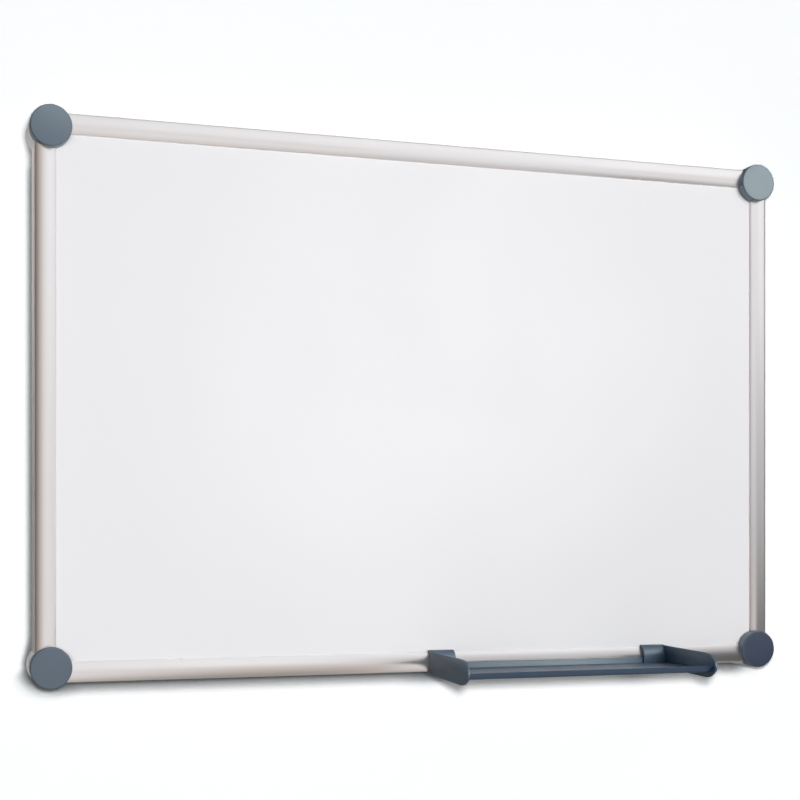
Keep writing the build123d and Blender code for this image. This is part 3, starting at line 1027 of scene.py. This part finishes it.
# The mirrored room's brightness by height (Z) for near and far directions along X, which acrossCurve mixes,
# and its dimming to the left (X). Dim parts are warm and bright ones cool. Fill is what lights the object
light = dict(
    fill=0.08, white=(0.975, 0.985, 1.0, 1), warm=(1.13, 0.975, 0.87, 1), cool=(0.99, 0.995, 1.0, 1),
    warmAt=0.40, coolAt=1.0,
    acrossCurve=((-1.0, 0.0), (0.05, 0.0), (0.20, 0.45), (0.30, 0.90), (0.52, 1.0), (0.68, 1.0), (0.95, 0.0),
                 (1.0, 0.0)),
    nearCurve=((-1.0, 0.60), (-0.93, 0.68), (-0.84, 0.80), (-0.6, 0.90), (-0.376, 0.98), (-0.1, 0.90),
               (0.1, 0.96), (0.27, 0.98), (0.6, 0.99), (1.0, 0.97)),
    farCurve=((-1.0, 0.30), (-0.93, 0.40), (-0.84, 0.66), (-0.6, 0.86), (-0.376, 1.00), (-0.2, 0.94),
              (-0.07, 0.86), (0.08, 0.94), (0.19, 1.07), (0.27, 1.14), (0.6, 1.16), (1.0, 1.12)),
    sideCurve=((-1.0, 0.08), (-0.95, 0.12), (-0.82, 0.26), (-0.57, 0.55), (-0.26, 0.80), (0.05, 1.0),
               (0.55, 1.0), (0.7, 1.06), (1.0, 1.06)),
)


def makeWorld():
    world = bpy.data.worlds.new("studio")
    scene.world = world
    tree = clearTree(world)
    rays = addNode(tree, "ShaderNodeLightPath", (-200, 500))
    x, z = addAxes(tree, addPlace(tree, "Generated", (-1600, 0)), (-1400, 0))
    near = addCurve(tree, z, light["nearCurve"], (-1100, 300))
    far = addCurve(tree, z, light["farCurve"], (-1100, 0))
    side = addCurve(tree, x, light["sideCurve"], (-1100, -300))
    across = addCurve(tree, x, light["acrossCurve"], (-1100, -600))
    level = addNode(tree, "ShaderNodeMix", (-800, 200))
    for entry, value in (("Factor", across), ("A", near), ("B", far)):
        feed(tree, level.inputs[entry], value)
    strength = addMath(tree, "MULTIPLY", (-600, 100), level.outputs[0], side)
    cooler = addRamp(tree, strength, light["warmAt"], light["coolAt"], 0.0, 1.0, (-500, -200), "LINEAR")
    tint = addTint(tree, (-400, -100), light["warm"], light["cool"])
    feed(tree, tint.inputs["Factor"], cooler)
    fill = addNode(tree, "ShaderNodeBackground", (-200, -200), {
        "Color": (1, 1, 1, 1), "Strength": light["fill"],
    })
    white = addNode(tree, "ShaderNodeBackground", (-200, 200), {"Color": light["white"], "Strength": 1.0})
    mirror = addNode(tree, "ShaderNodeBackground", (-200, 0))
    link(tree, tint, mixResult, mirror, "Color")
    feed(tree, mirror.inputs["Strength"], strength)
    lit = mixShaders(tree, (100, 0), rays.outputs["Is Glossy Ray"], fill.outputs[0], mirror.outputs[0])
    seen = mixShaders(tree, (300, 0), rays.outputs["Is Camera Ray"], lit, white.outputs[0])
    addOutput(tree, seen, (500, 0), "ShaderNodeOutputWorld")


makeWorld()


def addLamp(name, place, aim, size, power):
    lamp = bpy.data.lights.new(name, "AREA")
    lamp.shape = "DISK"
    lamp.size = size
    lamp.energy = power
    holder = newObject(name, lamp)
    holder.location = place
    holder.rotation_euler = (Vector(aim) - Vector(place)).to_track_quat("-Z", "Y").to_euler()
    holder.visible_glossy = False
    return holder


def linkedSet(name, pieces, state):
    # A collection that a lamp includes or leaves out
    group = bpy.data.collections.new(name)
    for piece in pieces:
        group.objects.link(piece)
    for item in group.collection_objects:
        item.light_linking.link_state = state
    return group


def addGleam(node, lit, power, size, offset):
    # A soft lamp that a piece's front mirrors to the camera, for the given pieces alone
    middle = middleOf(node)
    front = Vector((middle.x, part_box(node)[0].y, middle.z))
    away = (front - Vector(view["place"])).normalized()
    away.y = -away.y
    lamp = addLamp("gleam_" + node, front + lamps["gleamReach"] * away + Vector(offset), front, size, power)
    lamp.visible_glossy = True
    lamp.data.color = lamps["gleamColour"]
    lamp.light_linking.receiver_collection = linkedSet(lamp.name + "Lit", lit, "INCLUDE")


def makeLamps():
    caps = [bpy.data.objects["cap_" + corner + "_dressed"] for corner in corners]
    tray = [bpy.data.objects[node + "_dressed"] for node in trayNodes]
    for name in ("key", "fill", "back"):
        lamp = addLamp(name, lamps[name + "Place"], (0, 0, 0), lamps[name + "Size"], lamps[name + "Power"])
        lamp.light_linking.receiver_collection = linkedSet(name + "Lit", wallPieces, "EXCLUDE")
        if name == "fill":
            lamp.light_linking.blocker_collection = linkedSet("fillFree", caps, "EXCLUDE")
    place = Vector(view["place"]) + Vector(lamps["wallOffset"])
    wash = addLamp("wallWash", place, (place.x, 0, place.z), lamps["wallSize"], lamps["wallPower"])
    wash.light_linking.receiver_collection = linkedSet("wallWashLit", wallPieces, "INCLUDE")
    for corner, power, offset in lamps["capGleams"]:
        addGleam("corner_cap_" + corner, caps, power, lamps["capGleamSize"], offset)
    addGleam("tray_trough", tray, lamps["trayGleam"], lamps["trayGleamSize"], lamps["trayOffset"])


makeLamps()


# Camera at the photograph's viewing angle
def makeCamera():
    data = bpy.data.cameras.new("camera")
    data.sensor_width, data.lens = view["sensor"], view["lens"]
    data.shift_x, data.shift_y = view["shiftX"], view["shiftY"]
    data.clip_start, data.clip_end = view["nearClip"], view["farClip"]
    camera = newObject("camera", data)
    camera.location = view["place"]
    camera.rotation_euler = (math.radians(view["pitch"]), 0, math.radians(view["turn"]))
    scene.camera = camera


makeCamera()
print("stage, lamps and camera set")
